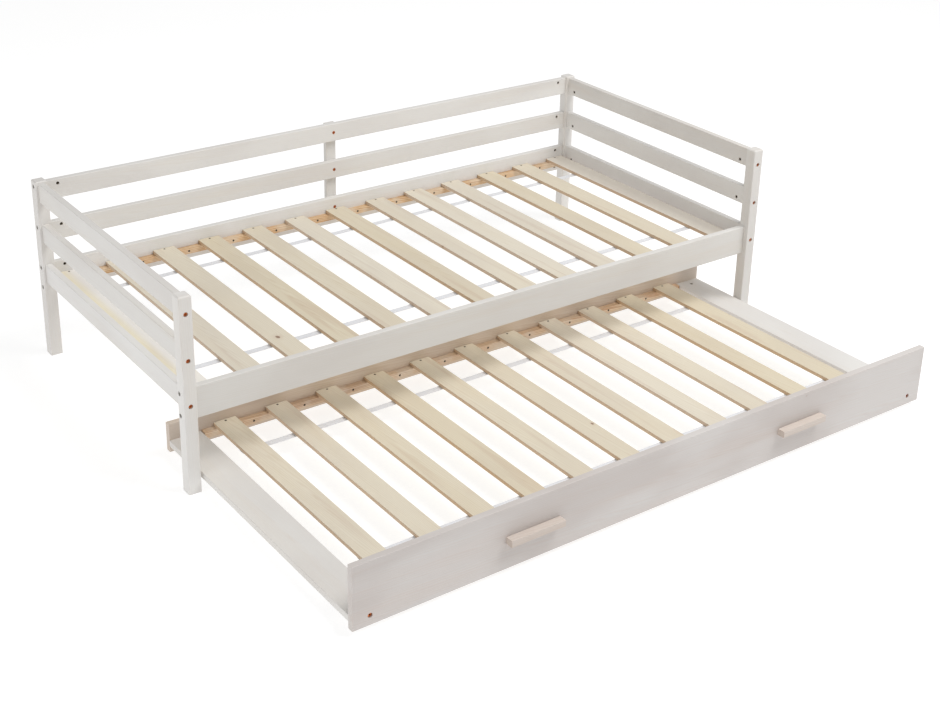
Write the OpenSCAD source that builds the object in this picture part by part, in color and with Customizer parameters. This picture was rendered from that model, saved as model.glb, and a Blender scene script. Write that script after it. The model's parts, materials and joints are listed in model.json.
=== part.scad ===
// Daybed in solid pine with a slatted trundle bed that rolls out from under it.
// Origin: on the floor, in the middle of the footprint with the trundle pulled out.
// +X runs along the bed, +Y towards its back, +Z up.

/* [Daybed] */
// Length over the posts
bed_l = 2060; // [1960:1:2160]
// Width over the posts
bed_w = 995; // [960:1:1040]
// Height of the posts
post_h = 574; // [560:1:700]
// Side of a square post
post = 37; // [34:1:40]

/* [Rails] */
// Thickness of every rail
rail_t = 20; // [19:1:22]
// Height of a guard rail
rail_h = 60; // [50:1:65]
// Height of the rails that carry the slats
deck_rail_h = 93; // [90:1:96]
// Underside of the rails that carry the slats, above the floor
deck_rail_z = 212.5; // [208:0.5:216]
// Distance from one guard rail to the next above it
rail_pitch = 131.5; // [120:0.5:131.5]
// Distance from the posts' front faces back to the front rail
front_set_back = 16; // [14:1:16]

/* [Slats] */
// Thickness of a slat
slat_t = 12; // [10:1:14]
// Side of the square ledger under the slats' ends
ledger = 20; // [18:1:22]
// Number of slats in the daybed
bed_slats = 13; // [11:1:13]
// Width of a daybed slat
bed_slat_w = 72; // [60:1:76]
// Number of slats in the trundle
trundle_slats = 11; // [10:1:11]
// Width of a trundle slat
trundle_slat_w = 68; // [60:1:72]

/* [Trundle] */
// Length of the front and rear panels
trundle_l = 1971; // [1860:1:1975]
// Depth over the front and rear panels
trundle_d = 971; // [900:1:975]
// Thickness of the panels and of the side boards
panel_t = 19; // [18:1:20]
// Height of the front panel
front_panel_h = 176; // [160:1:190]
// Height of the rear panel
rear_panel_h = 87; // [80:1:100]
// Clearance between the panels and the floor
floor_gap = 14; // [8:1:16]
// Width of a side board, which lies flat over two casters
side_board_w = 95; // [90:1:110]
// Distance that the trundle is pulled out
pulled_out = 745; // [0:5:950]

/* [Casters and handles] */
// Diameter of a caster wheel
wheel_d = 25; // [24:1:26]
// Width of a caster wheel
wheel_w = 14; // [10:1:16]
// Length of a handle
handle_l = 166; // [120:1:200]
// Distance that a handle stands out from the panel
handle_d = 24; // [18:1:30]
// Height of a handle
handle_h = 19; // [16:1:24]

/* [Hidden] */
$fn = 32;

// Fits and hardware
fit = 0.1;              // clearance all round a fastener in its hole
running_fit = 0.05;     // radial clearance of a wheel on its axle
bolt_r = 3;
head_r = 5.6;
head_h = 4;
counterbore_r = 6.6;
counterbore_h = 7;
nut_r = 5;
nut_l = 14;
nut_inset = 34.5;       // from a rail's end to the barrel nut's axis
bolt_past_nut = 7;
dowel_r = 4;
dowel_l = 26;
dowel_in_post = 12;
screw_r = 1.75;
screw_head_r = 3.4;
screw_head_h = 2;
screw_l = 28;
edge_r = 2;             // rounding of a plank's long edges
post_edge_r = 2.5;
post_cap = 3.5;         // bevel round a post's top

// Heights in the daybed
deck_rail_top = deck_rail_z + deck_rail_h;
guard_z = [for (i = [0:2]) deck_rail_top - rail_h + i * rail_pitch];
ledger_z = deck_rail_z + 23.5;
slat_z = ledger_z + ledger;
slat_top = slat_z + slat_t;
side_bolt_up = 15;      // side rails are bolted low and back rails high,
back_bolt_down = 13;    // so that the bolts pass each other inside a post
side_dowel_up = 16;
back_dowel_down = 16;
side_bolt_z = [for (z = guard_z) z + side_bolt_up];
back_bolt_z = [for (z = guard_z) z + rail_h - back_bolt_down];
deck_bolt_z = [deck_rail_z + side_bolt_up, deck_rail_top - back_bolt_down];

// Plan of the daybed: x from the left posts, y from the front posts' front faces
rail_in = (post - rail_t) / 2;
inner_l = bed_l - 2 * post;
inner_w = bed_w - 2 * post;
front_rail_y = front_set_back;
back_rail_y = bed_w - post + rail_in;
deck_y0 = front_rail_y + rail_t;
deck_y1 = back_rail_y;
batten_w = 37;
batten_t = 18;
batten_z = deck_rail_z + 28;
batten_top = guard_z[2] + rail_h - 3;

// Slats of the daybed, spread evenly between the side rails
slat_gap = 1;           // from a slat's end to the rail
bed_slat_margin = 14.5; // from the outer slats to the side rails
bed_slat_x0 = rail_in + rail_t + bed_slat_margin;
bed_slat_pitch = (bed_l - 2 * bed_slat_x0 - bed_slat_w) / (bed_slats - 1);
function bed_slat_x(i) = bed_slat_x0 + i * bed_slat_pitch;

// Heights in the trundle
board_z = floor_gap + 18;
board_top = board_z + panel_t;
trundle_ledger_z = board_z + 2;
trundle_slat_z = trundle_ledger_z + ledger;
handle_z = floor_gap + 75;
handle_spread = 467;    // from the middle of the panel to a handle's middle
handle_screw_spread = 48;

// Plan of the trundle: x from its left end, y from its front face
trundle_y0 = panel_t;
trundle_y1 = trundle_d - panel_t;
trundle_slat_margin = 38;
trundle_slat_x0 = side_board_w + trundle_slat_margin;
trundle_slat_pitch = (trundle_l - 2 * trundle_slat_x0 - trundle_slat_w) / (trundle_slats - 1);
function trundle_slat_x(i) = trundle_slat_x0 + i * trundle_slat_pitch;

// Casters under the side boards
caster_y = [120, trundle_d - 120];
caster_x = [side_board_w / 2, trundle_l - side_board_w / 2];
plate_w = 38;
plate_t = 2;
cheek_t = 2;
side_play = 0.8;        // between a wheel and its cheeks
axle_r = 2.5;
axle_head_r = 3.6;
axle_head_h = 1.2;
plate_hole = 13;        // from the plate's middle to a screw, each way

// Webbing tapes under the slats
tape_w = 22;
tape_t = 1;
tape_drop = 0.3;
tape_inset = 165;       // from the rails or panels to a tape's middle

// Screws in the slats and the ledgers
slat_screw_in = 8;      // from a slat's end

y_front = -pulled_out - handle_d;
y_back = bed_w - rail_in + batten_t;

GUARD_LEVELS = ["lower", "middle", "top"];
SIDES = ["left", "right"];
WHEELS = ["front_left", "front_right", "rear_left", "rear_right"];

// ---- frames of reference ----

module daybed_frame() {
    translate([-bed_l / 2, -(y_front + y_back) / 2, 0]) children();
}

module trundle_frame() {
    translate([-trundle_l / 2, -(y_front + y_back) / 2 - pulled_out, 0]) children();
}

// ---- shapes ----

// Corner points of a w by h rectangle with its corners rounded to r in three steps
function rounded(w, h, r) = [
    for (c = [[w - r, r, -90], [w - r, h - r, 0], [r, h - r, 90], [r, r, 180]])
    for (a = [0:30:90])
    [c[0] + r * cos(c[2] + a), c[1] + r * sin(c[2] + a)]
];

// Planks from the origin, with rounded long edges, along X, Y or Z
module plank_x(l, w, h, r = edge_r) {
    rotate([90, 0, 90]) linear_extrude(l) polygon(rounded(w, h, r));
}
module plank_y(l, w, h, r = edge_r) {
    translate([0, l, 0]) rotate([90, 0, 0]) linear_extrude(l) polygon(rounded(w, h, r));
}
module plank_z(l, w, d, r = edge_r) {
    linear_extrude(l) polygon(rounded(w, d, r));
}

// Rods that start at a point and run along X, Y or Z
module rod_x(p, r, l) {
    translate(p) rotate([0, 90, 0]) cylinder(r = r, h = l);
}
module rod_y(p, r, l) {
    translate(p) rotate([-90, 0, 0]) cylinder(r = r, h = l);
}
module rod_z(p, r, l) {
    translate(p) cylinder(r = r, h = l);
}

// Mirror image about the middle of a length along X, or of a depth along Y
module flip_x(length) {
    translate([length, 0, 0]) mirror([1, 0, 0]) children();
}
module flip_y(depth) {
    translate([0, depth, 0]) mirror([0, 1, 0]) children();
}
module both_x(length) {
    children();
    flip_x(length) children();
}
module both_y(depth) {
    children();
    flip_y(depth) children();
}

// ---- daybed ----

// A bolt runs in from a post's outer face, through the post and into the rail
module bolt_bore_x(y, z) {
    rod_x([-1, y, z], bolt_r + fit, post + nut_inset + bolt_past_nut + 2);
    rod_x([-1, y, z], counterbore_r, counterbore_h + 1);
}
module bolt_bore_y(x, z) {
    rod_y([x, -1, z], bolt_r + fit, post + nut_inset + bolt_past_nut + 2);
    rod_y([x, -1, z], counterbore_r, counterbore_h + 1);
}
module dowel_bore_x(y, z) {
    rod_x([post - dowel_in_post - fit, y, z], dowel_r + fit, dowel_l + 2 * fit);
}
module dowel_bore_y(x, z) {
    rod_y([x, post - dowel_in_post - fit, z], dowel_r + fit, dowel_l + 2 * fit);
}

// The front left corner's bores; the other corners mirror them
module side_rail_bores() {
    for (z = side_bolt_z) {
        bolt_bore_y(post / 2, z);
        dowel_bore_y(post / 2, z + side_dowel_up);
    }
}
module front_rail_bores() {
    for (z = deck_bolt_z) bolt_bore_x(front_rail_y + rail_t / 2, z);
}
module back_rail_bores() {
    for (z = back_bolt_z) bolt_bore_x(bed_w - post / 2, z);
    bolt_bore_x(bed_w - post / 2, deck_bolt_z[0]);
    for (i = [1, 2]) dowel_bore_x(bed_w - post / 2, back_bolt_z[i] - back_dowel_down);
}

// Square post with eased edges and a bevelled top
module post_blank() {
    c = post_cap;
    outline = [[0, 0], [post, 0], [post, post_h - c], [post - c, post_h], [c, post_h], [0, post_h - c]];
    intersection() {
        plank_z(post_h, post, post, post_edge_r);
        translate([0, post, 0]) rotate([90, 0, 0]) linear_extrude(post) polygon(outline);
        rotate([90, 0, 90]) linear_extrude(post) polygon(outline);
    }
}
module front_left_post() {
    difference() {
        post_blank();
        side_rail_bores();
        front_rail_bores();
    }
}
module rear_left_post() {
    difference() {
        translate([0, bed_w - post, 0]) post_blank();
        flip_y(bed_w) side_rail_bores();
        back_rail_bores();
    }
}
module bed_post(rear, right) {
    color("ghostwhite") daybed_frame() {
        if (rear && right) flip_x(bed_l) rear_left_post();
        if (rear && !right) rear_left_post();
        if (!rear && right) flip_x(bed_l) front_left_post();
        if (!rear && !right) front_left_post();
    }
}

// Side rail at level i; its barrel nuts go in from the inner face
module side_rail_left(i) {
    z = side_bolt_z[i];
    difference() {
        translate([rail_in, post, guard_z[i]]) plank_y(inner_w, rail_t, rail_h);
        both_y(bed_w) {
            bolt_bore_y(post / 2, z);
            dowel_bore_y(post / 2, z + side_dowel_up);
            rod_x([post / 2 - nut_l / 2, post + nut_inset, z], nut_r + fit, rail_t);
        }
    }
}
module side_rail(right, i) {
    color("ghostwhite") daybed_frame() {
        if (right) flip_x(bed_l) side_rail_left(i);
        else side_rail_left(i);
    }
}

// Back rail at level i; the lowest is deep, has two bolts an end and carries a ledger
module back_rail(i) {
    deep = i == 0;
    z = deep ? deck_rail_z : guard_z[i];
    h = deep ? deck_rail_h : rail_h;
    bolts = deep ? deck_bolt_z : [back_bolt_z[i]];
    color("ghostwhite") daybed_frame() difference() {
        translate([post, back_rail_y, z]) plank_x(inner_l, rail_t, h);
        both_x(bed_l) for (b = bolts) {
            bolt_bore_x(bed_w - post / 2, b);
            rod_y([post + nut_inset, back_rail_y - 6, b], nut_r + fit, nut_l + 9);
        }
        if (!deep) both_x(bed_l) dowel_bore_x(bed_w - post / 2, back_bolt_z[i] - back_dowel_down);
        batten_bolt_bore(i);
        if (deep) flip_y(bed_w) deck_ledger_bores(bed_w - back_rail_y);
    }
}

module front_rail() {
    color("ghostwhite") daybed_frame() difference() {
        translate([post, front_rail_y, deck_rail_z]) plank_x(inner_l, rail_t, deck_rail_h);
        both_x(bed_l) for (b = deck_bolt_z) {
            bolt_bore_x(front_rail_y + rail_t / 2, b);
            rod_y([post + nut_inset, front_rail_y + (rail_t - nut_l) / 2, b], nut_r + fit, rail_t);
        }
        deck_ledger_bores(deck_y0);
    }
}

// Upright behind the middle of the back rails, with a bolt from each rail
function batten_bolt_height(i) = i == 0 ? deck_rail_top - 33 : guard_z[i] + rail_h / 2;
module batten_bolt_bore(i) {
    z = batten_bolt_height(i);
    rod_y([bed_l / 2, back_rail_y - 1, z], bolt_r + fit, rail_t + batten_t);
    rod_y([bed_l / 2, back_rail_y - 1, z], head_r + fit, head_h + 2);
}
module back_batten() {
    color("ghostwhite") daybed_frame() difference() {
        translate([bed_l / 2 - batten_w / 2, back_rail_y + rail_t, batten_z])
            plank_z(batten_top - batten_z, batten_w, batten_t);
        for (i = [0:2]) batten_bolt_bore(i);
    }
}

// Ledgers: a screw into the rail in each gap between slats, and one down through each slat's end
function gap_x(i) = bed_slat_x(i) - (bed_slat_pitch - bed_slat_w) / 2;
module deck_ledger_bores(rail_face) {
    for (i = [1:bed_slats - 1])
        rod_y([gap_x(i), rail_face + ledger - screw_l - fit, ledger_z + ledger / 2], screw_r + fit, screw_l + fit);
}
module slat_screw_bores(x, y, slat_bottom) {
    rod_z([x, y, slat_bottom + slat_t - screw_l - fit], screw_r + fit, screw_l + 2);
    rod_z([x, y, slat_bottom + slat_t - screw_head_h - fit], screw_head_r + fit, screw_head_h + 1);
}
module ledger_head_bore(p) {
    rod_y(p, screw_head_r + fit, screw_head_h + 1);
}
module deck_ledger() {
    difference() {
        translate([post + 1, deck_y0, ledger_z]) plank_x(inner_l - 2, ledger, ledger, 1);
        deck_ledger_bores(deck_y0);
        for (i = [1:bed_slats - 1])
            ledger_head_bore([gap_x(i), deck_y0 + ledger - screw_head_h, ledger_z + ledger / 2]);
        for (i = [0:bed_slats - 1])
            slat_screw_bores(bed_slat_x(i) + bed_slat_w / 2, deck_y0 + slat_gap + slat_screw_in, slat_z);
    }
}
module daybed_ledgers() {
    color("burlywood") daybed_frame() both_y(deck_y0 + deck_y1) deck_ledger();
}

module daybed_slat(i) {
    x = bed_slat_x(i);
    l = deck_y1 - deck_y0 - 2 * slat_gap;
    color("wheat") daybed_frame() difference() {
        translate([x, deck_y0 + slat_gap, slat_z]) plank_y(l, bed_slat_w, slat_t, 1.5);
        both_y(deck_y0 + deck_y1)
            slat_screw_bores(x + bed_slat_w / 2, deck_y0 + slat_gap + slat_screw_in, slat_z);
    }
}

// Two flat tapes that keep the slats at their distance
module tapes(x0, length, y0, y1, slat_bottom) {
    for (y = [y0 + tape_inset, y1 - tape_inset])
        translate([x0, y - tape_w / 2, slat_bottom - tape_drop - tape_t]) cube([length, tape_w, tape_t]);
}
module daybed_webbing() {
    x0 = bed_slat_x(0);
    color("gainsboro") daybed_frame()
        tapes(x0, bed_l - 2 * x0, deck_y0, deck_y1, slat_z);
}

// Bolts with their heads at the start of the shank
module bolt_x(y, z, l) {
    rod_x([counterbore_h - head_h, y, z], head_r, head_h);
    rod_x([counterbore_h - 0.01, y, z], bolt_r, l);
}
module bolt_y(x, z, l) {
    rod_y([x, counterbore_h - head_h, z], head_r, head_h);
    rod_y([x, counterbore_h - 0.01, z], bolt_r, l);
}
bolt_l = post + nut_inset + bolt_past_nut - counterbore_h;
module daybed_bolts() {
    color("peru") daybed_frame() {
        both_x(bed_l) {
            both_y(bed_w) for (z = side_bolt_z) bolt_y(post / 2, z, bolt_l);
            for (z = deck_bolt_z) bolt_x(front_rail_y + rail_t / 2, z, bolt_l);
            for (z = concat(back_bolt_z, [deck_bolt_z[0]])) bolt_x(bed_w - post / 2, z, bolt_l);
        }
        for (i = [0:2]) {
            rod_y([bed_l / 2, back_rail_y + 1, batten_bolt_height(i)], head_r, head_h);
            rod_y([bed_l / 2, back_rail_y + head_h, batten_bolt_height(i)], bolt_r, rail_t + batten_t - 8);
        }
    }
}

// Barrel nuts, cross-drilled for their bolts
module barrel_nut_x(x, y, z) {
    difference() {
        rod_x([x, y, z], nut_r, nut_l);
        rod_y([x + nut_l / 2, y - nut_r - 1, z], bolt_r + fit, 2 * nut_r + 2);
    }
}
module barrel_nut_y(x, y, z) {
    difference() {
        rod_y([x, y, z], nut_r, nut_l);
        rod_x([x - nut_r - 1, y + nut_l / 2, z], bolt_r + fit, 2 * nut_r + 2);
    }
}
module daybed_barrel_nuts() {
    nut = post + nut_inset;
    color("dimgray") daybed_frame() both_x(bed_l) {
        both_y(bed_w) for (z = side_bolt_z) barrel_nut_x(post / 2 - nut_l / 2 + fit, nut, z);
        for (z = deck_bolt_z) barrel_nut_y(nut, front_rail_y + (rail_t - nut_l) / 2 + fit, z);
        for (z = concat(back_bolt_z, [deck_bolt_z[0]])) barrel_nut_y(nut, bed_w - post / 2 - nut_l / 2, z);
    }
}

module daybed_dowels() {
    start = post - dowel_in_post;
    color("tan") daybed_frame() both_x(bed_l) {
        both_y(bed_w) for (z = side_bolt_z) rod_y([post / 2, start, z + side_dowel_up], dowel_r, dowel_l);
        for (i = [1, 2]) rod_x([start, bed_w - post / 2, back_bolt_z[i] - back_dowel_down], dowel_r, dowel_l);
    }
}

// Countersunk screws, drawn as a flat head on a plain shank
module screw_down(x, y, top) {
    rod_z([x, y, top - screw_head_h], screw_head_r, screw_head_h);
    rod_z([x, y, top - screw_l], screw_r, screw_l - 1);
}
module screw_forward(x, y, z) {
    rod_y([x, y - screw_head_h, z], screw_head_r, screw_head_h);
    rod_y([x, y - screw_l, z], screw_r, screw_l - 1);
}
module daybed_screws() {
    color("dimgray") daybed_frame() both_y(deck_y0 + deck_y1) {
        for (i = [0:bed_slats - 1])
            screw_down(bed_slat_x(i) + bed_slat_w / 2, deck_y0 + slat_gap + slat_screw_in, slat_top - fit);
        for (i = [1:bed_slats - 1])
            screw_forward(gap_x(i), deck_y0 + ledger, ledger_z + ledger / 2);
    }
}

// ---- trundle ----

board_bolt_z = board_z + panel_t / 2;
board_nut_y = panel_t + 26.5;
board_dowel_x = 30;     // from the bolt to a dowel, each way
board_dowel_in = 10;
trundle_bolt_l = board_nut_y + bolt_past_nut - counterbore_h;

// Bores of the front left corner: a bolt and two dowels from the panel into the side board
module board_bores() {
    x = side_board_w / 2;
    rod_y([x, -1, board_bolt_z], bolt_r + fit, board_nut_y + bolt_past_nut + 2);
    rod_y([x, -1, board_bolt_z], counterbore_r, counterbore_h + 1);
    for (dx = [-board_dowel_x, board_dowel_x])
        rod_y([x + dx, panel_t - board_dowel_in - fit, board_bolt_z], dowel_r + fit, dowel_l + 2 * fit);
}
module handle_screw_bores() {
    for (s = [-1, 1], d = [-1, 1])
        rod_y([trundle_l / 2 + s * handle_spread + d * handle_screw_spread, -14, handle_z + handle_h / 2],
            screw_r + fit, panel_t + 15);
}
function trundle_gap_x(i) = trundle_slat_x(i) - (trundle_slat_pitch - trundle_slat_w) / 2;
module trundle_ledger_bores() {
    for (i = [1:trundle_slats - 1])
        rod_y([trundle_gap_x(i), trundle_y0 + ledger - screw_l - fit, trundle_ledger_z + ledger / 2],
            screw_r + fit, screw_l + fit);
}
module trundle_front_panel() {
    color("ghostwhite") trundle_frame() difference() {
        translate([0, 0, floor_gap]) plank_x(trundle_l, panel_t, front_panel_h);
        both_x(trundle_l) board_bores();
        trundle_ledger_bores();
        handle_screw_bores();
    }
}
module trundle_rear_panel() {
    color("antiquewhite") trundle_frame() difference() {
        translate([0, trundle_y1, floor_gap]) plank_x(trundle_l, panel_t, rear_panel_h);
        flip_y(trundle_d) {
            both_x(trundle_l) board_bores();
            trundle_ledger_bores();
        }
    }
}
module left_board() {
    difference() {
        translate([0, trundle_y0, board_z]) plank_y(trundle_y1 - trundle_y0, side_board_w, panel_t);
        both_y(trundle_d) {
            board_bores();
            rod_z([side_board_w / 2, board_nut_y, board_top - 17], nut_r + fit, 20);
        }
        for (y = caster_y) caster_screw_places(side_board_w / 2, y)
            rod_z([0, 0, board_z - 1], screw_r + fit, 13);
    }
}
module trundle_board(right) {
    color("ghostwhite") trundle_frame() {
        if (right) flip_x(trundle_l) left_board();
        else left_board();
    }
}

module trundle_ledger() {
    x0 = side_board_w + 2;
    difference() {
        translate([x0, trundle_y0, trundle_ledger_z]) plank_x(trundle_l - 2 * x0, ledger, ledger, 1);
        trundle_ledger_bores();
        for (i = [1:trundle_slats - 1])
            ledger_head_bore([trundle_gap_x(i), trundle_y0 + ledger - screw_head_h, trundle_ledger_z + ledger / 2]);
        for (i = [0:trundle_slats - 1])
            slat_screw_bores(trundle_slat_x(i) + trundle_slat_w / 2, trundle_y0 + slat_gap + slat_screw_in,
                trundle_slat_z);
    }
}
module trundle_ledgers() {
    color("burlywood") trundle_frame() both_y(trundle_d) trundle_ledger();
}

module trundle_slat(i) {
    x = trundle_slat_x(i);
    l = trundle_y1 - trundle_y0 - 2 * slat_gap;
    color("wheat") trundle_frame() difference() {
        translate([x, trundle_y0 + slat_gap, trundle_slat_z]) plank_y(l, trundle_slat_w, slat_t, 1.5);
        both_y(trundle_d)
            slat_screw_bores(x + trundle_slat_w / 2, trundle_y0 + slat_gap + slat_screw_in, trundle_slat_z);
    }
}

module trundle_webbing() {
    x0 = trundle_slat_x(0);
    color("gainsboro") trundle_frame()
        tapes(x0, trundle_l - 2 * x0, trundle_y0, trundle_y1, trundle_slat_z);
}

module trundle_handles() {
    color("antiquewhite") trundle_frame() difference() {
        for (s = [-1, 1])
            translate([trundle_l / 2 + s * handle_spread - handle_l / 2, -handle_d, handle_z])
                plank_x(handle_l, handle_d, handle_h, 1.5);
        handle_screw_bores();
    }
}

// ---- casters ----

module caster_screw_places(x, y) {
    for (dx = [-plate_hole, plate_hole], dy = [-plate_hole, plate_hole])
        translate([x + dx, y + dy, 0]) children();
}
wheel_r = wheel_d / 2;
cheek_x = wheel_w / 2 + side_play;
axle_l = 2 * (cheek_x + cheek_t);

// Steel fork: a plate under the board and two cheeks that hold the axle
module fork(x, y) {
    translate([x, y, 0]) difference() {
        union() {
            translate([-plate_w / 2, -plate_w / 2, board_z - plate_t]) cube([plate_w, plate_w, plate_t]);
            for (side = [-cheek_x - cheek_t, cheek_x]) {
                translate([side, -8, wheel_r]) cube([cheek_t, 16, board_z - plate_t - wheel_r]);
                rod_x([side, 0, wheel_r], 8, cheek_t);
            }
        }
        rod_x([-axle_l, 0, wheel_r], axle_r + fit, 2 * axle_l);
        caster_screw_places(0, 0) rod_z([0, 0, board_z - plate_t - 1], screw_r + fit, plate_t + 2);
    }
}
module caster_forks() {
    color("silver") trundle_frame() for (x = caster_x, y = caster_y) fork(x, y);
}

// Wheel with a hub on each side and a rounded tread
module caster_wheel(x, y) {
    c = 2;
    section = [
        [axle_r + running_fit, -wheel_w / 2], [6, -wheel_w / 2], [6, 1 - wheel_w / 2],
        [wheel_r - c, 1 - wheel_w / 2], [wheel_r, 1 + c - wheel_w / 2],
        [wheel_r, wheel_w / 2 - 1 - c], [wheel_r - c, wheel_w / 2 - 1],
        [6, wheel_w / 2 - 1], [6, wheel_w / 2], [axle_r + running_fit, wheel_w / 2]
    ];
    color("dimgray") trundle_frame()
        translate([x, y, wheel_r]) rotate([0, 90, 0]) rotate_extrude($fn = 64) polygon(section);
}

module trundle_bolts() {
    color("peru") trundle_frame() both_x(trundle_l) both_y(trundle_d)
        bolt_y(side_board_w / 2, board_bolt_z, trundle_bolt_l);
}

module trundle_dowels() {
    color("tan") trundle_frame() both_x(trundle_l) both_y(trundle_d)
        for (dx = [-board_dowel_x, board_dowel_x])
            rod_y([side_board_w / 2 + dx, panel_t - board_dowel_in, board_bolt_z], dowel_r, dowel_l);
}

// The steel pieces of the trundle: barrel nuts, screws and wheel axles
module board_nut() {
    difference() {
        rod_z([side_board_w / 2, board_nut_y, board_top - nut_l - 2], nut_r, nut_l);
        rod_y([side_board_w / 2, board_nut_y - nut_r - 1, board_bolt_z], bolt_r + fit, 2 * nut_r + 2);
    }
}
module trundle_slat_screws() {
    both_y(trundle_d) for (i = [0:trundle_slats - 1])
        screw_down(trundle_slat_x(i) + trundle_slat_w / 2, trundle_y0 + slat_gap + slat_screw_in,
            trundle_slat_z + slat_t - fit);
}
module trundle_ledger_screws() {
    both_y(trundle_d) for (i = [1:trundle_slats - 1])
        screw_forward(trundle_gap_x(i), trundle_y0 + ledger, trundle_ledger_z + ledger / 2);
}
module handle_screws() {
    for (s = [-1, 1], d = [-1, 1])
        translate([trundle_l / 2 + s * handle_spread + d * handle_screw_spread, 0, handle_z + handle_h / 2]) {
            rod_y([0, panel_t, 0], screw_head_r, screw_head_h);
            rod_y([0, -13, 0], screw_r, panel_t + 13.5);
        }
}
module caster_hardware(x, y) {
    rod_x([x - axle_l / 2, y, wheel_r], axle_r, axle_l);
    for (end = [-axle_l / 2 - axle_head_h, axle_l / 2])
        rod_x([x + end, y, wheel_r], axle_head_r, axle_head_h);
    caster_screw_places(x, y) {
        rod_z([0, 0, board_z - plate_t - 1.5], screw_head_r, 1.5);
        rod_z([0, 0, board_z - plate_t - 1], screw_r, 13);
    }
}
module trundle_fittings() {
    color("silver") trundle_frame() {
        both_x(trundle_l) both_y(trundle_d) board_nut();
        trundle_slat_screws();
        trundle_ledger_screws();
        handle_screws();
        for (x = caster_x, y = caster_y) caster_hardware(x, y);
    }
}

// ---- drawing ----

for (rear = [0, 1], right = [0, 1])
    bed_post(rear == 1, right == 1);
for (right = [0, 1], i = [0:2])
    side_rail(right == 1, i);
for (i = [0:2])
    back_rail(i);
front_rail();
back_batten();
daybed_ledgers();
for (i = [1:bed_slats])
    daybed_slat(i - 1);
daybed_webbing();
daybed_bolts();
daybed_barrel_nuts();
daybed_dowels();
daybed_screws();
trundle_front_panel();
trundle_rear_panel();
trundle_board(false);  // trundle_left_board
trundle_board(true);  // trundle_right_board
trundle_ledgers();
for (i = [1:trundle_slats])
    trundle_slat(i - 1);
trundle_handles();
trundle_webbing();
trundle_bolts();
trundle_dowels();
trundle_fittings();
caster_forks();
for (i = [0:3])
    caster_wheel(caster_x[i % 2], caster_y[floor(i / 2)]);
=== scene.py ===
"""Looks of a washed pine daybed and its trundle bed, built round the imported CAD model."""
import json
import math

import bmesh
import bpy
from mathutils import Matrix, Vector


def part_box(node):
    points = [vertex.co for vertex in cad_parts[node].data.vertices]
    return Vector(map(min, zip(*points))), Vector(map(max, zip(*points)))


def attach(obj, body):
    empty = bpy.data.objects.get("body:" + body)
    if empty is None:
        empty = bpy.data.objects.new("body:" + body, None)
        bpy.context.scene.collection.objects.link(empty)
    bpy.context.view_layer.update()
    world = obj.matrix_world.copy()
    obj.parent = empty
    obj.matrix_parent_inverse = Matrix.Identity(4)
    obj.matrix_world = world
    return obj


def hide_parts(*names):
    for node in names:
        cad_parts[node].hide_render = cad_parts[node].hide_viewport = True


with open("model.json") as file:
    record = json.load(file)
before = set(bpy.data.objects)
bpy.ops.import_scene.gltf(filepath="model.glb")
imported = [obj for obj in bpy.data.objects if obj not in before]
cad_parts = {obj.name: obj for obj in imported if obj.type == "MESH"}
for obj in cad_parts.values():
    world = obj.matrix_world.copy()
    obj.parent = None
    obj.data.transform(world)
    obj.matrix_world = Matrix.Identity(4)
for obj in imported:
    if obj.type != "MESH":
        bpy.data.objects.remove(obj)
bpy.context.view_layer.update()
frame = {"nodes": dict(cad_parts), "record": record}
NODES = frame["nodes"]
MM = 0.001


# ---- camera, light and floor ----

FLOOR_SIZE = 30


def make_camera():
    """A camera above the front left corner, looking down along the bed."""
    place = Vector((-2.472, -3.316, 2.205))
    heading, down, roll = (math.radians(angle) for angle in (36.164, 22.637, 1.267))
    data = bpy.data.cameras.new("camera")
    data.sensor_width = 36
    data.lens = 58.43
    data.shift_y = -0.13
    camera = bpy.data.objects.new("camera", data)
    turn = Matrix.Rotation(-heading, 4, "Z") @ Matrix.Rotation(math.pi / 2 - down, 4, "X")
    camera.matrix_world = Matrix.Translation(place) @ turn @ Matrix.Rotation(roll, 4, "Z")
    bpy.context.scene.collection.objects.link(camera)
    bpy.context.scene.camera = camera


def make_area_light(name, place, size, power, colour):
    """A square soft box that faces the origin, under the middle of the bed."""
    data = bpy.data.lights.new(name, "AREA")
    data.size = size
    data.energy = power
    data.color = colour
    light = bpy.data.objects.new(name, data)
    light.location = place
    light.rotation_euler = (-Vector(place)).to_track_quat("-Z", "Y").to_euler()
    bpy.context.scene.collection.objects.link(light)


def make_studio():
    """Even white surroundings, two soft boxes and a pale floor."""
    scene = bpy.context.scene
    scene.view_settings.view_transform = "Standard"
    world = bpy.data.worlds.new("studio")
    world.use_nodes = True
    background = world.node_tree.nodes["Background"]
    background.inputs["Color"].default_value = (1, 1, 1, 1)
    background.inputs["Strength"].default_value = 0.44
    scene.world = world
    make_area_light("key", place=(1.7, -1.9, 4.8), size=3.0, power=195, colour=(1.0, 0.995, 0.985))
    make_area_light("left_fill", place=(-6.5, -0.6, 2.4), size=3.5, power=84, colour=(1, 1, 1))

    bpy.ops.mesh.primitive_plane_add(size=FLOOR_SIZE)
    floor = bpy.context.object
    floor.name = "floor"
    shader = Shader("floor_paint")
    shader.set("Base Color", (0.42, 0.42, 0.42, 1))
    shader.set("Roughness", 0.9)
    shader.set("Emission Color", (1, 1, 1, 1))
    shader.set("Emission Strength", 0.72)
    floor.data.materials.append(shader.material)


# ---- procedural materials ----

def srgb(red, green, blue):
    """A display colour from 0 to 255, as the linear colour that a shader takes."""
    def linear(value):
        share = value / 255
        return share / 12.92 if share < 0.04045 else ((share + 0.055) / 1.055) ** 2.4
    return (linear(red), linear(green), linear(blue), 1.0)


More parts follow.
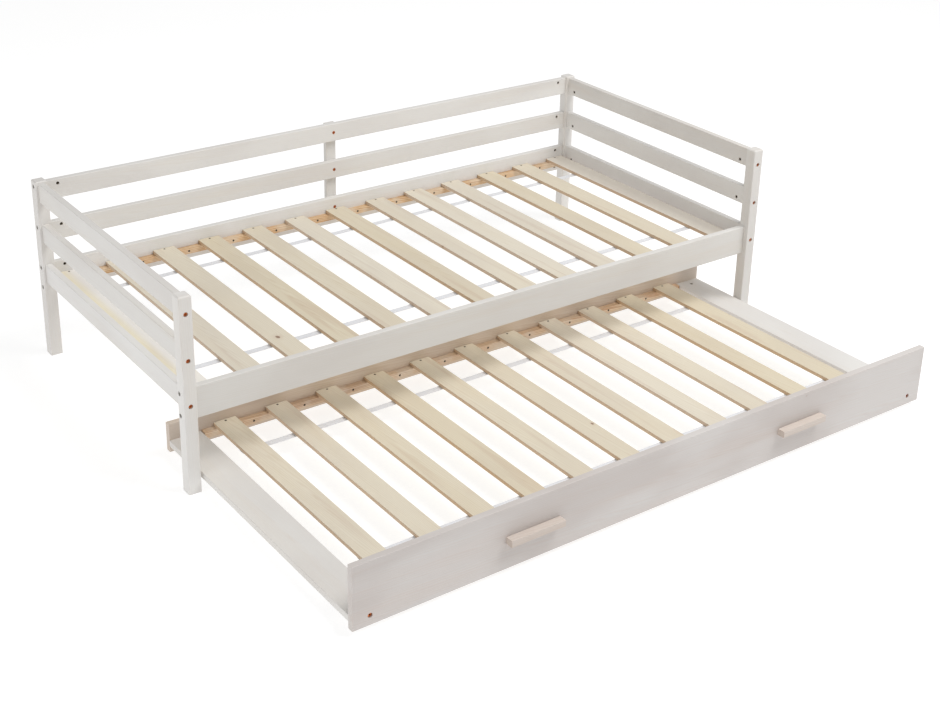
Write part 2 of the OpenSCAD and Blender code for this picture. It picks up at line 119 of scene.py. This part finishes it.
class Shader:
    """A material whose node tree is built node by node."""

    def __init__(self, name):
        self.material = bpy.data.materials.new(name)
        self.material.use_nodes = True
        self.tree = self.material.node_tree
        self.surface = self.tree.nodes["Principled BSDF"]

    def feed(self, socket, value):
        if isinstance(value, bpy.types.NodeSocket):
            self.tree.links.new(value, socket)
        elif value is not None:
            socket.default_value = value

    def node(self, kind, *values, **settings):
        made = self.tree.nodes.new("ShaderNode" + kind)
        for name, value in settings.items():
            setattr(made, name, value)
        for socket, value in zip(made.inputs, values):
            self.feed(socket, value)
        return made

    def math(self, operation, *values):
        return self.node("Math", *values, operation=operation).outputs[0]

    def vector(self, operation, *values):
        made = self.node("VectorMath", *values, operation=operation)
        return made.outputs["Value" if operation in ("LENGTH", "DOT_PRODUCT") else "Vector"]

    def scaled(self, vector, factor):
        made = self.node("VectorMath", vector, operation="SCALE")
        made.inputs["Scale"].default_value = factor
        return made.outputs["Vector"]

    def noise(self, place, scale, detail=2.0, roughness=0.5):
        return self.node("TexNoise", place, None, scale, detail, roughness).outputs[0]

    def step(self, value, low, high, start=0.0, end=1.0):
        """start below low, end above high, and smooth between them."""
        made = self.node("MapRange", value, low, high, start, end, interpolation_type="SMOOTHSTEP")
        return made.outputs[0]

    def mix(self, share, first, second, blend="MIX"):
        return self.node("MixRGB", share, first, second, blend_type=blend).outputs[0]

    def set(self, name, value):
        self.feed(self.surface.inputs[name], value)

    def bump(self, height, strength, depth):
        made = self.node("Bump")
        made.inputs["Strength"].default_value = strength
        made.inputs["Distance"].default_value = depth
        self.feed(made.inputs["Height"], height)
        self.set("Normal", made.outputs[0])


# Scales of the patterns in wood, in repeats to the metre across the grain
RINGS = 120.0
FIBRES = 620.0
STREAKS = 34.0
BROAD_BANDS = 22.0
PATCHES = 11.0
CLOUDS = 5.5
KNOTS_ACROSS = 13.0
KNOTS_ALONG = 3.2       # along the grain
KNOT_SMALL, KNOT_BIG = 3.5 * MM, 8.5 * MM
KNOT_RAGGED = 4 * MM
EDGE_WEAR = 2.2 * MM    # how far in from an edge the paint is rubbed
HOLE_DEPTH = 12 * MM    # how far the shade inside a hole reaches

HEARTWOOD = srgb(168, 124, 80)
KNOT_RIM = srgb(176, 122, 70)
KNOT_CORE = srgb(112, 66, 36)
END_GRAIN = srgb(178, 140, 96)
FIBRE_SHADE = srgb(150, 138, 122)
CLOUD_SHADE = srgb(176, 164, 158)
RAW_SIDE = srgb(180, 146, 110)


def wood(name, along, early, late, wash, cover, knots=0.45, streaks=0.35, contrast=1.0, cloudy=0.13,
         patchy=0.0, raw_sides=0.0):
    """Pine whose grain runs along an axis, from early to late in each growth ring.

    wash is the colour of the paint over it. cover is how much of that hides the wood: one number,
    or two distances from the bed's middle along X and the cover at each.
    """
    s = Shader(name)
    axis = "xyz".index(along)
    place = s.node("TexCoord").outputs["Object"]
    # A cover that changes along X can also paint shade into a plank, as on the trundle's rear panel
    if isinstance(cover, tuple):
        cover = s.step(s.math("ABSOLUTE", s.node("SeparateXYZ", place).outputs[0]), *cover)
    chance = s.node("ObjectInfo").outputs["Random"]
    plank = s.node("TexWhiteNoise", None, chance, noise_dimensions="1D").outputs["Color"]
    here = s.vector("ADD", place, s.scaled(plank, 7.0))

    def stretched(share):
        return s.vector("MULTIPLY", here, tuple(share if i == axis else 1.0 for i in range(3)))

    # Knots: round spots at the feature points of a coarse cell pattern
    cells = tuple(KNOTS_ALONG if i == axis else KNOTS_ACROSS for i in range(3))
    cell = s.node("TexVoronoi", s.vector("MULTIPLY", here, cells), None, 1.0)
    from_knot = s.vector("SUBTRACT", s.vector("MULTIPLY", here, cells), cell.outputs["Position"])
    squeeze = tuple(0.65 / KNOTS_ALONG if i == axis else 1 / KNOTS_ACROSS for i in range(3))
    ragged = s.math("MULTIPLY", s.math("SUBTRACT", s.noise(here, 130.0), 0.5), KNOT_RAGGED)
    distance = s.math("ADD", s.vector("LENGTH", s.vector("MULTIPLY", from_knot, squeeze)), ragged)
    draw = s.node("SeparateColor", cell.outputs["Color"])
    radius = s.step(draw.outputs["Green"], 0.0, 1.0, KNOT_SMALL, KNOT_BIG)
    exists = s.step(draw.outputs["Red"], knots, knots - 0.01)
    ratio = s.math("DIVIDE", distance, radius)
    knot = s.math("MULTIPLY", s.step(ratio, 1.15, 0.85), exists)
    halo = s.math("MULTIPLY", s.step(ratio, 3.2, 0.9), exists)

    # Growth rings, bent round the knots. After the place: scale, distortion, detail, detail scale,
    # detail roughness and phase
    rings = s.node("TexWave", stretched(0.045), RINGS, 24.0, 2.0, 0.22, 0.55,
                   s.math("MULTIPLY", halo, 9.0), bands_direction="DIAGONAL").outputs["Fac"]
    rings = s.step(rings, 0.35, 0.95)
    fibre = s.noise(stretched(0.025), FIBRES, 2.0, 0.6)
    clouds = s.noise(stretched(0.45), CLOUDS, 2.0, 0.5)
    broad = s.noise(stretched(0.07), BROAD_BANDS, 3.0, 0.55)
    heart = s.math("MULTIPLY", s.step(s.noise(stretched(0.05), STREAKS, 1.0), 0.60, 0.72), streaks)

    # Ends across the grain are darker, and the sides that face along X may be unpainted
    normal = s.node("SeparateXYZ", s.node("TexCoord").outputs["Normal"])
    end = s.step(s.math("ABSOLUTE", normal.outputs[axis]), 0.75, 0.95)
    side = s.step(s.math("ABSOLUTE", normal.outputs[0]), 0.75, 0.95)

    # Rounded edges, where the paint is rubbed thin, and the insides of holes and recesses, where
    # the paint is thin and ambient occlusion paints shade as darker bare wood
    soft = s.node("Bevel", EDGE_WEAR, samples=4).outputs["Normal"]
    flat = s.node("NewGeometry").outputs["Normal"]
    edge = s.step(s.vector("DOT_PRODUCT", soft, flat), 0.985, 0.86)
    rubbed = s.math("MULTIPLY", edge, s.step(s.noise(here, 18.0, 3.0), 0.42, 0.70))
    sky = s.node("AmbientOcclusion", None, HOLE_DEPTH, samples=4, only_local=True).outputs["AO"]
    hole_paint_and_shade = s.step(sky, 0.55, 0.30)

    bare = s.mix(s.math("MULTIPLY", rings, 0.65 * contrast), early, late)
    bare = s.mix(s.step(broad, 0.35, 0.70, 0.0, 0.30 * contrast), bare, late)
    bare = s.mix(heart, bare, HEARTWOOD)
    bare = s.mix(s.math("MULTIPLY", halo, 0.35), bare, KNOT_RIM)
    bare = s.mix(s.math("MULTIPLY", knot, 0.85), bare, KNOT_CORE)
    bare = s.mix(s.math("MULTIPLY", end, 0.45), bare, END_GRAIN)

    # The paint over it, less where it is thin, and less in holes and recesses as painted shade
    thin = s.math("ADD", s.math("MULTIPLY", rings, 0.10 * contrast), s.math("MULTIPLY", knot, 0.42))
    thin = s.math("ADD", thin, s.math("MULTIPLY", rubbed, 0.30))
    # Painted shade: occluded holes and recesses lose paint and show darker bare wood
    thin = s.math("ADD", thin, s.math("MULTIPLY", hole_paint_and_shade, 0.75))
    thin = s.math("ADD", thin, s.step(broad, 0.45, 0.72, 0.0, 0.10))
    thin = s.math("SUBTRACT", thin, s.step(s.noise(here, PATCHES, 2.0), 0.46, 0.62, 0.0, patchy))
    paint = s.math("MAXIMUM", s.math("SUBTRACT", cover, thin), 0.0)
    colour = s.mix(paint, bare, wash)
    fine = s.math("MULTIPLY", s.step(fibre, 0.35, 0.75), 0.05 * contrast)
    colour = s.mix(fine, colour, FIBRE_SHADE)
    colour = s.mix(s.step(clouds, 0.38, 0.66, 0.0, cloudy), colour, CLOUD_SHADE)
    colour = s.mix(s.math("MULTIPLY", side, raw_sides), colour, RAW_SIDE)

    # Each plank has a tone of its own
    tone = s.node("HueSaturation", None, None, s.step(chance, 0.0, 1.0, 0.965, 1.035), None, colour)
    s.feed(tone.inputs["Saturation"], s.step(chance, 1.0, 0.0, 0.85, 1.2))
    s.set("Base Color", tone.outputs["Color"])
    s.set("Roughness", s.step(broad, 0.3, 0.7, 0.50, 0.66))
    relief = s.math("ADD", s.math("MULTIPLY", rings, 0.5), s.math("MULTIPLY", fibre, 0.9))
    s.bump(s.math("ADD", relief, s.math("MULTIPLY", knot, 0.8)), 0.45, 0.00035)
    return s.material


def metal(name, colour, dull, roughness):
    """Plated steel, with faint drawing lines and dull spots."""
    s = Shader(name)
    place = s.node("TexCoord").outputs["Object"]
    spots = s.noise(place, 260.0, 3.0, 0.6)
    lines = s.noise(s.vector("MULTIPLY", place, (1.0, 0.2, 1.0)), 1800.0, 2.0)
    s.set("Base Color", s.mix(s.step(spots, 0.4, 0.7), colour, dull))
    s.set("Metallic", 1.0)
    s.set("Roughness", s.step(spots, 0.3, 0.7, roughness - 0.08, roughness + 0.12))
    s.bump(lines, 0.15, 0.00005)
    return s.material


def moulded(name, colour, worn):
    """Moulded nylon with a fine grain and scuffs."""
    s = Shader(name)
    place = s.node("TexCoord").outputs["Object"]
    scuffs = s.noise(s.vector("MULTIPLY", place, (3.0, 1.0, 1.0)), 240.0, 4.0, 0.65)
    s.set("Base Color", s.mix(s.step(scuffs, 0.52, 0.75), colour, worn))
    s.set("Roughness", s.step(scuffs, 0.3, 0.8, 0.38, 0.62))
    s.bump(s.noise(place, 2600.0, 2.0), 0.2, 0.00005)
    return s.material


def woven(name, light, dark, threads_per_m=560.0):
    """Plain flat weave: threads pass over and under each other along X and Y."""
    s = Shader(name)
    place = s.node("SeparateXYZ", s.node("TexCoord").outputs["Object"])
    turn = threads_per_m * 2 * math.pi
    across = s.math("SINE", s.math("MULTIPLY", place.outputs[0], turn))
    up = s.math("SINE", s.math("MULTIPLY", place.outputs[1], turn))
    weave = s.math("MULTIPLY", across, up)
    soil = s.noise(s.node("TexCoord").outputs["Object"], 45.0, 3.0, 0.6)
    colour = s.mix(s.step(weave, -0.8, 0.8), dark, light)
    s.set("Base Color", s.mix(s.step(soil, 0.4, 0.8, 0.0, 0.25), colour, dark))
    s.set("Roughness", 0.85)
    s.bump(weave, 0.6, 0.0003)
    return s.material


WHITE = srgb(223, 222, 220)
WASH = dict(early=srgb(222, 206, 180), late=srgb(192, 166, 134), wash=WHITE, cover=0.95)
PANEL = dict(early=srgb(226, 201, 184), late=srgb(198, 164, 144), wash=srgb(209, 208, 207),
             cover=0.90)
CREAM = dict(early=srgb(222, 211, 184), late=srgb(196, 177, 144), wash=srgb(223, 216, 202),
             cover=0.60)
# Painted light: the first slat's wash and wood are lighter than the others, to offset the middle
# rail's shadow on it
FIRST = dict(early=srgb(238, 229, 198), late=srgb(226, 211, 174), wash=srgb(238, 236, 234))
LEDGER = dict(early=srgb(224, 194, 154), late=srgb(184, 136, 92), wash=srgb(222, 212, 196),
              cover=0.20)
REAR = dict(early=srgb(224, 204, 176), late=srgb(200, 172, 140), wash=srgb(219, 209, 199))
GRIP = dict(early=srgb(212, 194, 176), late=srgb(190, 164, 142), wash=srgb(206, 196, 189),
            cover=0.72)
BEECH = dict(early=srgb(210, 172, 126), late=srgb(184, 140, 92), wash=WHITE, cover=0.0)


def dress(node, material):
    """A CAD node takes this material on all of its faces."""
    materials = NODES[node].data.materials
    materials.clear()
    materials.append(material)


def dress_wood():
    """Grain, paint and colour for every wooden CAD node."""
    washed = {axis: wood("washed_pine_" + axis, axis, knots=0.3, streaks=0.12, contrast=0.5, **WASH)
              for axis in "xyz"}
    grain = {"post": "z", "back_batten": "z", "front_rail": "x", "back": "x"}
    for name in [n for n, row in slots.items() if row == "whitewashed_pine"]:
        along = grain.get(name) or grain.get(name.split("_")[0]) or "y"
        dress(name, washed[along])
    dress("trundle_front_panel", wood("front_panel_pine", "x", knots=0.35, streaks=0.30,
                                      contrast=0.8, cloudy=0.34, **PANEL))
    slat = wood("slat_pine", "y", knots=0.35, streaks=0.35, contrast=0.8, raw_sides=0.68, **CREAM)
    ledger = wood("ledger_pine", "x", knots=0.80, streaks=0.8, contrast=1.3, patchy=0.35, **LEDGER)
    for name in [n for n, row in slots.items() if row == "natural_pine"]:
        dress(name, ledger if name.endswith("ledgers") else slat)
    # Painted light: the first slat takes a brighter wash to offset the middle rail's shadow, and
    # the yellow bare streak near its edge is its own colour
    edge = abs(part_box("daybed_slat_1")[0].x)
    dress("daybed_slat_1", wood("first_slat_pine", "y", streaks=0.1, contrast=0.5,
                                cover=(edge - 46 * MM, edge - 16 * MM, 0.92, 0.30), **FIRST))
    last = dict(CREAM, wash=srgb(224, 219, 212), cover=0.85)
    far = max((n for n in NODES if n.startswith("daybed_slat_")), key=lambda n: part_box(n)[0].x)
    dress(far, wood("last_slat_pine", "y", streaks=0.3, contrast=0.7, raw_sides=0.68, **last))
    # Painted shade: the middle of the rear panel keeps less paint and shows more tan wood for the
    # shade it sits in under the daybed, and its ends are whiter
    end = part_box("trundle_rear_panel")[1].x
    dress("trundle_rear_panel", wood("rear_panel_pine", "x", knots=0.6, streaks=0.5, cloudy=0.3,
                                     cover=(end - 0.22, end - 0.06, 0.66, 0.97), **REAR))
    dress("trundle_handles", wood("handle_wood", "x", knots=0.0, streaks=0.3, **GRIP))
    dowel = wood("dowel_beech", "x", knots=0.0, streaks=0.2, **BEECH)
    dress("daybed_dowels", dowel)
    dress("trundle_dowels", dowel)


# ---- fasteners ----

SIDES_ROUND = 24


def solids(node):
    """The corner points of each separate solid in a CAD node, in the same order in every run."""
    mesh = bmesh.new()
    mesh.from_mesh(NODES[node].data)
    bmesh.ops.remove_doubles(mesh, verts=mesh.verts, dist=1e-6)
    unseen = dict.fromkeys(mesh.verts)
    found = []
    while unseen:
        front = [unseen.popitem()[0]]
        points = []
        while front:
            vert = front.pop()
            points.append(vert.co.copy())
            for edge in vert.link_edges:
                near = edge.other_vert(vert)
                if near in unseen:
                    del unseen[near]
                    front.append(near)
        found.append(points)
    mesh.free()
    return sorted(found, key=lambda points: tuple(sum(points, Vector()) / len(points)))


class Rod:
    """A round CAD solid: its axis, and where its head is."""

    def __init__(self, points):
        low = Vector(map(min, *points))
        high = Vector(map(max, *points))
        size = high - low
        self.axis = max(range(3), key=lambda i: size[i])
        self.length = size[self.axis]
        middle = (low + high) / 2
        self.radius = min(size[i] for i in range(3) if i != self.axis) / 2

        def off_axis(point):
            return (point - middle).length_squared - (point - middle)[self.axis] ** 2

        rim = [p[self.axis] for p in points if off_axis(p) > (0.93 * self.radius) ** 2]
        lean = sum(rim) / len(rim) - middle[self.axis]
        self.two_heads = max(rim) - min(rim) > 0.9 * self.length
        self.sign = 1 if lean > 0 else -1
        self.head = middle.copy()
        self.head[self.axis] += self.sign * self.length / 2

    def matrix(self):
        """From a piece whose head is at its origin and whose shank runs down -Z."""
        up = Vector([self.sign if i == self.axis else 0 for i in range(3)])
        return Matrix.Translation(self.head) @ up.to_track_quat("Z", "Y").to_matrix().to_4x4()


def is_nut(rod):
    return rod.radius > 4 * MM


def is_axle(rod):
    return rod.two_heads and not is_nut(rod)


def is_screw(rod):
    return not is_nut(rod) and not is_axle(rod)


def hexagon(flats):
    """Radius of a hexagon in each direction, by its width across flats."""
    return lambda turn: flats / 2 / math.cos(turn % (math.pi / 3) - math.pi / 6)


def cross(length, width):
    """Radius of a cross recess in each direction."""
    def radius(turn):
        a, b = max(abs(math.cos(turn)), 1e-6), max(abs(math.sin(turn)), 1e-6)
        return max(min(length / a, width / b), min(length / b, width / a)) / 2
    return radius


def turn_piece(mesh, matrix, profile):
    """Skins rings of (radius, height), closed at both ends.

    A radius may be a function of direction.
    """
    loops = []
    for radius, height in profile:
        loop = []
        for i in range(SIDES_ROUND):
            turn = 2 * math.pi * (i + 0.5) / SIDES_ROUND
            r = radius(turn) if callable(radius) else radius
            point = Vector((r * math.cos(turn), r * math.sin(turn), height))
            loop.append(mesh.verts.new(matrix @ point))
        loops.append(loop)
    for above, below in zip(loops, loops[1:]):
        for i in range(SIDES_ROUND):
            j = (i + 1) % SIDES_ROUND
            mesh.faces.new((above[i], below[i], below[j], above[j]))
    mesh.faces.new(loops[0])
    mesh.faces.new(reversed(loops[-1]))


def bolt_profile(rod):
    """A flat-headed connector bolt with a hexagon socket."""
    r, shank, head = rod.radius, 3 * MM, 4 * MM
    socket = hexagon(4.6 * MM)
    return [(socket, -2.6 * MM), (socket, -0.25 * MM), (3.1 * MM, 0), (r - 0.5 * MM, 0),
            (r, -0.5 * MM), (r, 0.3 * MM - head), (r - 0.3 * MM, -head), (shank, -head),
            (shank, 0.8 * MM - rod.length), (shank - 0.8 * MM, -rod.length)]


def screw_profile(rod):
    """A countersunk wood screw with a cross recess."""
    r, shank = rod.radius, 1.7 * MM
    recess = cross(3.8 * MM, 1.1 * MM)
    return [(cross(2.2 * MM, 0.9 * MM), -1.5 * MM), (recess, -0.1 * MM), (2.2 * MM, 0),
            (r - 0.15 * MM, 0), (r, -0.2 * MM), (r, -0.4 * MM), (shank, -2.0 * MM),
            (shank, 5 * MM - rod.length), (0.3 * MM, -rod.length)]


def nut_profile(rod):
    """A barrel nut with rounded rims and a driver's slot across its end."""
    r, end = rod.radius, rod.length
    slot = cross(6.4 * MM, 1.4 * MM)
    return [(slot, -1.2 * MM), (slot, 0), (3.8 * MM, 0), (r - 0.5 * MM, 0), (r, -0.5 * MM),
            (r, 0.5 * MM - end), (r - 0.5 * MM, -end)]


def axle_profile(rod):
    """A riveted wheel axle with domed heads."""
    r, shank, end = rod.radius, 2.5 * MM, rod.length
    dome = []
    for angle in map(math.radians, (75, 50, 25, 0)):
        dome.append((r * math.cos(angle), (math.sin(angle) - 1) * 1.1 * MM))
    far_dome = [(x, -end - z) for x, z in reversed(dome)]
    return dome + [(shank, -1.2 * MM), (shank, 1.2 * MM - end)] + far_dome


def new_piece(name, mesh, material, body, replaced):
    """An object made from a bmesh, which rides on a body and stands for CAD nodes."""
    bmesh.ops.recalc_face_normals(mesh, faces=mesh.faces)
    data = bpy.data.meshes.new(name)
    mesh.to_mesh(data)
    mesh.free()
    data.shade_smooth()
    data.set_sharp_from_angle(angle=math.radians(35))
    data.materials.append(material)
    piece = bpy.data.objects.new(name, data)
    bpy.context.scene.collection.objects.link(piece)
    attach(piece, body)
    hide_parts(*replaced)
    return piece


def make_fasteners(name, node, body, profile, material, chosen=lambda rod: True):
    """Finished fasteners in place of the plain rods of a CAD node."""
    mesh = bmesh.new()
    for points in solids(node):
        rod = Rod(points)
        if chosen(rod):
            turn_piece(mesh, rod.matrix(), profile(rod))
    return new_piece(name, mesh, material, body, [node])


# ---- webbing ----

TAPE_SAG = 0.6 * MM
TAPE_STEPS = 8          # stations in the gap between two slats


def tape_stations(start, end, slats):
    """Places along a tape as (x, drop): held up under each slat, and slack in between."""
    stations = [(start, 0)]
    for (_, left), (right, _) in zip(slats, slats[1:]):
        for i in range(TAPE_STEPS + 1):
            t = i / TAPE_STEPS
            stations.append((left.x + t * (right.x - left.x), TAPE_SAG * 4 * t * (1 - t)))
    return stations + [(end, 0)]


def make_tapes(prefix, material):
    """Woven tapes under the slats in place of the flat CAD strips, with thicker selvedges."""
    slats = [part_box(n) for n in NODES if n.startswith(prefix + "_slat_")]
    slats.sort(key=lambda box: box[0].x)
    across = (-1.0, -0.86, -0.72, 0.0, 0.72, 0.86, 1.0)
    edge = (0.0, 0.12 * MM, 0.0, 0.0, 0.0, 0.12 * MM, 0.0)
    mesh = bmesh.new()
    for points in solids(prefix + "_webbing"):
        low, high = Vector(map(min, *points)), Vector(map(max, *points))
        half, middle = (high.y - low.y) / 2, (high.y + low.y) / 2
        loops = []
        for x, drop in tape_stations(low.x, high.x, slats):
            top = [(x, middle + half * a, high.z - drop + e) for a, e in zip(across, edge)]
            under = [(x, middle - half * a, low.z - drop - e) for a, e in zip(across, edge)]
            loops.append([mesh.verts.new(point) for point in top + under])
        for one, other in zip(loops, loops[1:]):
            for i in range(len(one)):
                j = (i + 1) % len(one)
                mesh.faces.new((one[i], other[i], other[j], one[j]))
        mesh.faces.new(loops[0])
        mesh.faces.new(reversed(loops[-1]))
    new_piece(prefix + "_tapes", mesh, material, prefix, [prefix + "_webbing"])


# ---- the scene ----

slots = {row["node"]: row["material_slot"] for row in frame["record"]["subparts"]}
make_camera()
make_studio()
dress_wood()
zinc = metal("zinc_plate", srgb(150, 148, 143), srgb(104, 101, 96), roughness=0.38)
bronze = metal("bronzed_steel", srgb(206, 124, 78), srgb(140, 78, 48), roughness=0.40)
dark = metal("dark_screws_and_shaded_bolts", srgb(84, 76, 68), srgb(48, 43, 39), roughness=0.42)
dress("caster_forks", zinc)
make_fasteners("daybed_end_bolts", "daybed_bolts", "daybed", bolt_profile, bronze,
               lambda rod: rod.axis == 1)
# Painted shade: the bolts in the side faces take the dark screw material instead of bronze, for the
# shadow inside their holes
make_fasteners("daybed_side_bolts", "daybed_bolts", "daybed", bolt_profile, dark,
               lambda rod: rod.axis == 0)
make_fasteners("trundle_socket_bolts", "trundle_bolts", "trundle", bolt_profile, bronze)
make_fasteners("daybed_cross_screws", "daybed_screws", "daybed", screw_profile, dark)
make_fasteners("daybed_cross_nuts", "daybed_barrel_nuts", "daybed", nut_profile, dark)
for name, profile, material, chosen in (
        ("trundle_cross_screws", screw_profile, dark, is_screw),
        ("trundle_cross_nuts", nut_profile, dark, is_nut),
        ("caster_axles", axle_profile, zinc, is_axle)):
    make_fasteners(name, "trundle_fittings", "trundle", profile, material, chosen)
nylon = moulded("wheel_nylon", srgb(62, 62, 64), srgb(104, 103, 102))
for name in [n for n, row in slots.items() if row == "wheel_nylon"]:
    dress(name, nylon)
tape = woven("webbing", srgb(242, 243, 246), srgb(218, 219, 223))
for prefix in ("daybed", "trundle"):
    make_tapes(prefix, tape)
